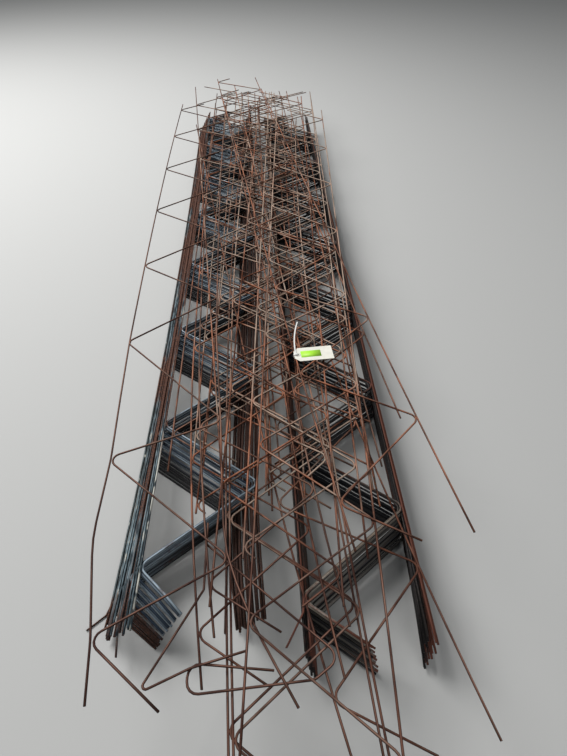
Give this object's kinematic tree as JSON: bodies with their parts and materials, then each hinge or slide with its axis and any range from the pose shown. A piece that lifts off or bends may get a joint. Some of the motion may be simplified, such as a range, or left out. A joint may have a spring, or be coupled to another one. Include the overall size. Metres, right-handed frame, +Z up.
{
  "type": "bundles of truss-type joint reinforcement",
  "caption": "Heap of flat welded-wire trusses for masonry joints: two nested bundles side by side, rusty loose trusses and sprung rods strewn on top, and a tied lot tag.",
  "frame": {"origin": "on the floor, under the middle of the heap's bounding box", "axes": "+Y along the trusses, away from the end that overhangs most; +Z up; +X to the right, towards the darker bundle"},
  "size_m": [0.8448, 3.7848, 0.2279],
  "materials": {
    "galvanised_wire": "dull grey-blue zinc with rust streaks",
    "dark_wire": "dark, dull, browned steel",
    "rusty_wire": "bare steel wire with an even coat of red-brown rust",
    "tag_card": "matt white card with a plain green label",
    "tie_plastic": "natural white nylon"
  },
  "bodies": {
    "root": {"cable_tie": "tie_plastic", "hairpin_rod": "rusty_wire", "left_bundle_core": "galvanised_wire", "left_bundle_trusses": "galvanised_wire", "loose_truss_01": "rusty_wire", "loose_truss_02": "rusty_wire", "loose_truss_03": "rusty_wire", "loose_truss_04": "rusty_wire", "loose_truss_05": "rusty_wire", "loose_truss_06": "rusty_wire", "loose_truss_07": "rusty_wire", "loose_truss_08": "rusty_wire", "loose_truss_09": "rusty_wire", "loose_truss_10": "rusty_wire", "loose_truss_11": "rusty_wire", "loose_truss_12": "rusty_wire", "loose_truss_13": "rusty_wire", "loose_truss_14": "rusty_wire", "loose_truss_15": "rusty_wire", "loose_truss_16": "rusty_wire", "loose_truss_17": "rusty_wire", "loose_truss_18": "rusty_wire", "loose_truss_19": "rusty_wire", "loose_truss_20": "rusty_wire", "lot_tag": "tag_card", "right_bundle_core": "dark_wire", "right_bundle_trusses": "dark_wire", "vee_rod": "rusty_wire"}
  },
  "joints": []
}
